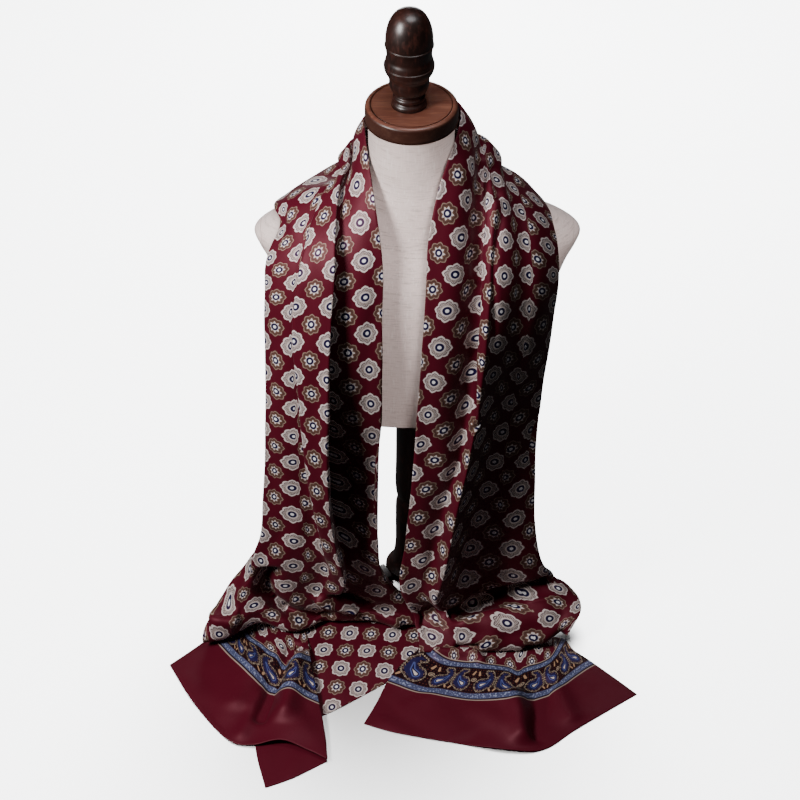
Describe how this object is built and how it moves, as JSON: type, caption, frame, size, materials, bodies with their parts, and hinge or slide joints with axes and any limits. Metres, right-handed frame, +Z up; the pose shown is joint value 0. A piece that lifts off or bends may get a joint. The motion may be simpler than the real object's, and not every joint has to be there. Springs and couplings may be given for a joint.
{
  "type": "foulard on a tabletop dress form",
  "caption": "Long printed silk foulard scarf draped round the neck of a limbless tabletop dress form, its folded ends lying on the table in front.",
  "frame": {"origin": "centre of the whole part's box, on the table top", "axes": "+Z up, +X to the right of a viewer facing the front, +Y away from that viewer"},
  "size_m": [0.562, 0.477, 0.8158],
  "materials": {
    "silk": "satin silk twill, burgundy, printed",
    "linen": "matt plain-woven linen",
    "wood": "dark brown turned wood, polished",
    "wood_cap": "mid brown turned wood, polished"
  },
  "bodies": {
    "root": {"bust": "linen", "armhole_plate_left": "linen", "armhole_plate_right": "linen", "neck_cap": "wood_cap", "finial": "wood", "pole": "wood", "toe_back": "wood", "toe_left": "wood", "toe_right": "wood", "scarf_left_roll": "silk", "scarf_left_hang": "silk", "scarf_neck": "silk", "scarf_right_hang": "silk", "scarf_right_roll": "silk", "scarf_left_end": "silk", "scarf_left_tail": "silk", "scarf_left_flat": "silk", "scarf_right_end": "silk"}
  },
  "joints": []
}
